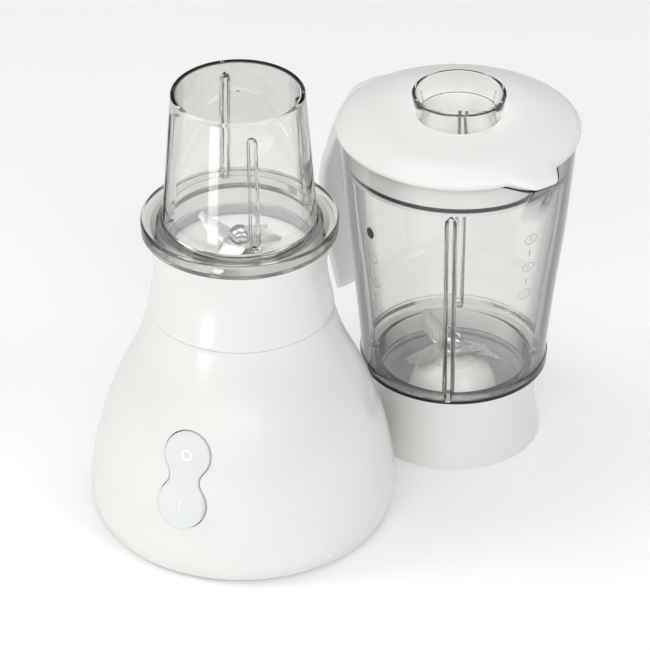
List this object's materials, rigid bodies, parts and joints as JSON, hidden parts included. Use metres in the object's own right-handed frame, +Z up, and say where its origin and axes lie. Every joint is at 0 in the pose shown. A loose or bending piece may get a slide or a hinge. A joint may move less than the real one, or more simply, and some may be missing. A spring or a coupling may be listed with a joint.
{
  "type": "food processor",
  "caption": "Pear-shaped motor base with a clear spice mill on top, and a spouted blending goblet with handle, lid and filler cap standing beside it.",
  "frame": {"origin": "middle of the footprint, on the surface that the feet and the goblet collar stand on", "axes": "+Z up; -Y is the side of the power unit that the rocker switch faces; +X to its right, where the goblet spout points"},
  "size_m": [0.2308, 0.2576, 0.2494],
  "materials": {
    "white_plastic": "glossy warm white moulding",
    "clear_plastic": "clear moulded plastic",
    "seal_rubber": "soft grey seal",
    "foot_rubber": "matt rubber",
    "steel": "brushed",
    "black_plastic": "matt black moulding",
    "copper": "enamelled copper wire",
    "laminations": "varnished sheet steel stack"
  },
  "bodies": {
    "power_unit": {"motor_housing": "white_plastic", "base_plate": "white_plastic", "socket_deck": "white_plastic", "cord_inlet_bush": "foot_rubber", "switch_body": "black_plastic", "motor_stator": "laminations", "field_coil_right": "copper", "field_coil_left": "copper", "lower_bearing": "steel", "upper_bearing": "steel", "lower_motor_bracket": "steel", "upper_motor_bracket": "steel", "motor_bolt_1": "steel", "motor_bolt_2": "steel", "brush_holder_1": "black_plastic", "brush_holder_2": "black_plastic", "carbon_brush_1": "black_plastic", "carbon_brush_2": "black_plastic", "foot_1": "foot_rubber", "foot_2": "foot_rubber", "foot_3": "foot_rubber", "foot_4": "foot_rubber", "base_screw_1": "steel", "base_screw_2": "steel", "base_screw_3": "steel", "base_screw_4": "steel"},
    "rotor": {"armature": "copper", "commutator": "copper", "motor_shaft": "steel", "cooling_fan": "black_plastic", "drive_coupling": "black_plastic"},
    "rocker": {"rocker_switch": "white_plastic"},
    "mill_base": {"mill_collar": "white_plastic", "mill_seal": "seal_rubber", "mill_shaft_bush": "steel"},
    "mill_cutter": {"mill_blade_shaft": "steel", "mill_blades": "steel", "mill_blade_nut": "steel", "mill_driven_coupling": "black_plastic"},
    "mill_cup": {"mill_jar": "clear_plastic"},
    "goblet_base": {"goblet_collar": "white_plastic", "blade_bowl": "white_plastic", "goblet_seal": "seal_rubber", "goblet_shaft_bush": "steel"},
    "goblet_cutter": {"goblet_blade_shaft": "steel", "lower_blade": "steel", "upper_blade": "steel", "goblet_blade_nut": "steel", "goblet_driven_coupling": "black_plastic"},
    "goblet_jug": {"goblet": "clear_plastic", "handle": "white_plastic", "handle_pin": "steel"},
    "goblet_lid": {"lid": "white_plastic", "lid_seal": "seal_rubber"},
    "cap": {"filler_cap": "clear_plastic"}
  },
  "joints": [
    {"name": "motor_spin", "type": "hinge", "parent": "power_unit", "child": "rotor", "pos_m": [-0.03431, -0.04618, 0.07], "axis": [0, 0, 1], "continuous": true},
    {"name": "switch_rock", "type": "hinge", "parent": "power_unit", "child": "rocker", "pos_m": [-0.03431, -0.11707, 0.05746], "axis": [1, 0, 0], "range_deg": [0, 6]},
    {"name": "mill_lift", "type": "slide", "parent": "power_unit", "child": "mill_base", "axis": [0, 0, 1], "range_m": [0, 0.08]},
    {"name": "mill_cutter_spin", "type": "hinge", "parent": "mill_base", "child": "mill_cutter", "pos_m": [-0.03431, -0.04618, 0.16], "axis": [0, 0, 1], "continuous": true},
    {"name": "mill_cup_lift", "type": "slide", "parent": "mill_base", "child": "mill_cup", "axis": [0, 0, 1], "range_m": [0, 0.1]},
    {"name": "goblet_lift", "type": "slide", "parent": "power_unit", "child": "goblet_base", "axis": [0, 0, 1], "range_m": [0, 0.12]},
    {"name": "goblet_cutter_spin", "type": "hinge", "parent": "goblet_base", "child": "goblet_cutter", "pos_m": [0.04229, 0.06422, 0.04], "axis": [0, 0, 1], "continuous": true},
    {"name": "goblet_jug_lift", "type": "slide", "parent": "goblet_base", "child": "goblet_jug", "axis": [0, 0, 1], "range_m": [0, 0.08]},
    {"name": "lid_lift", "type": "slide", "parent": "goblet_jug", "child": "goblet_lid", "axis": [0, 0, 1], "range_m": [0, 0.06]},
    {"name": "filler_cap_lift", "type": "slide", "parent": "goblet_lid", "child": "cap", "axis": [0, 0, 1], "range_m": [0, 0.04]}
  ],
  "couplings": [
    {"joint": "mill_cutter_spin", "follows": "motor_spin", "ratio": 1}
  ]
}
